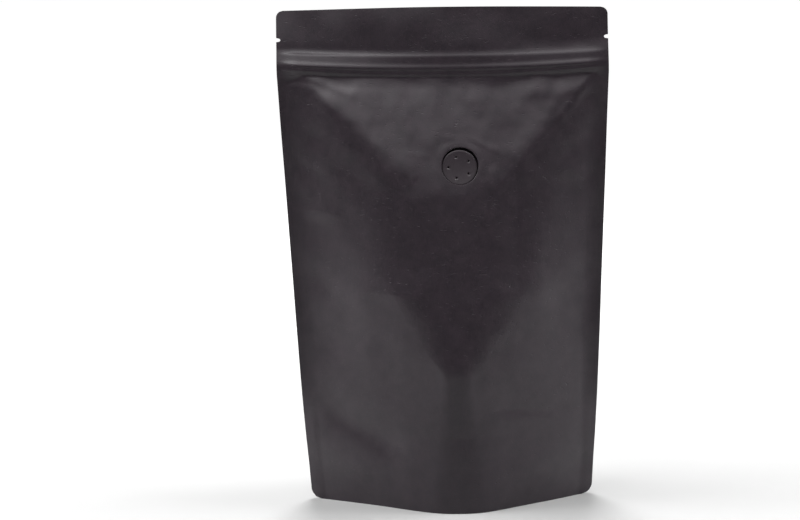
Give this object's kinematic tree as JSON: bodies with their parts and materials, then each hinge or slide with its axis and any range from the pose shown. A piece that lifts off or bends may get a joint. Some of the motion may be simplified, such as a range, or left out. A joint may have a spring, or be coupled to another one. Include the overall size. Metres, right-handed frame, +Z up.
{
  "type": "stand-up coffee pouch with degassing valve",
  "caption": "Black kraft stand-up pouch with a flat header, zip ridges, side seals, an opened bottom gusset and a round degassing valve.",
  "frame": {"origin": "on the floor, midway between the side edges and between the front and back of the base", "axes": "+Z up along the height, +X across the width to the right, and the front panel with its valve faces -Y"},
  "size_m": [0.19, 0.0894, 0.2863],
  "materials": {
    "kraft_laminate": "matt black kraft paper over a plastic film, soft sheen",
    "valve_plastic": "matt black plastic"
  },
  "bodies": {
    "root": {"pouch": "kraft_laminate", "valve": "valve_plastic"}
  },
  "joints": []
}
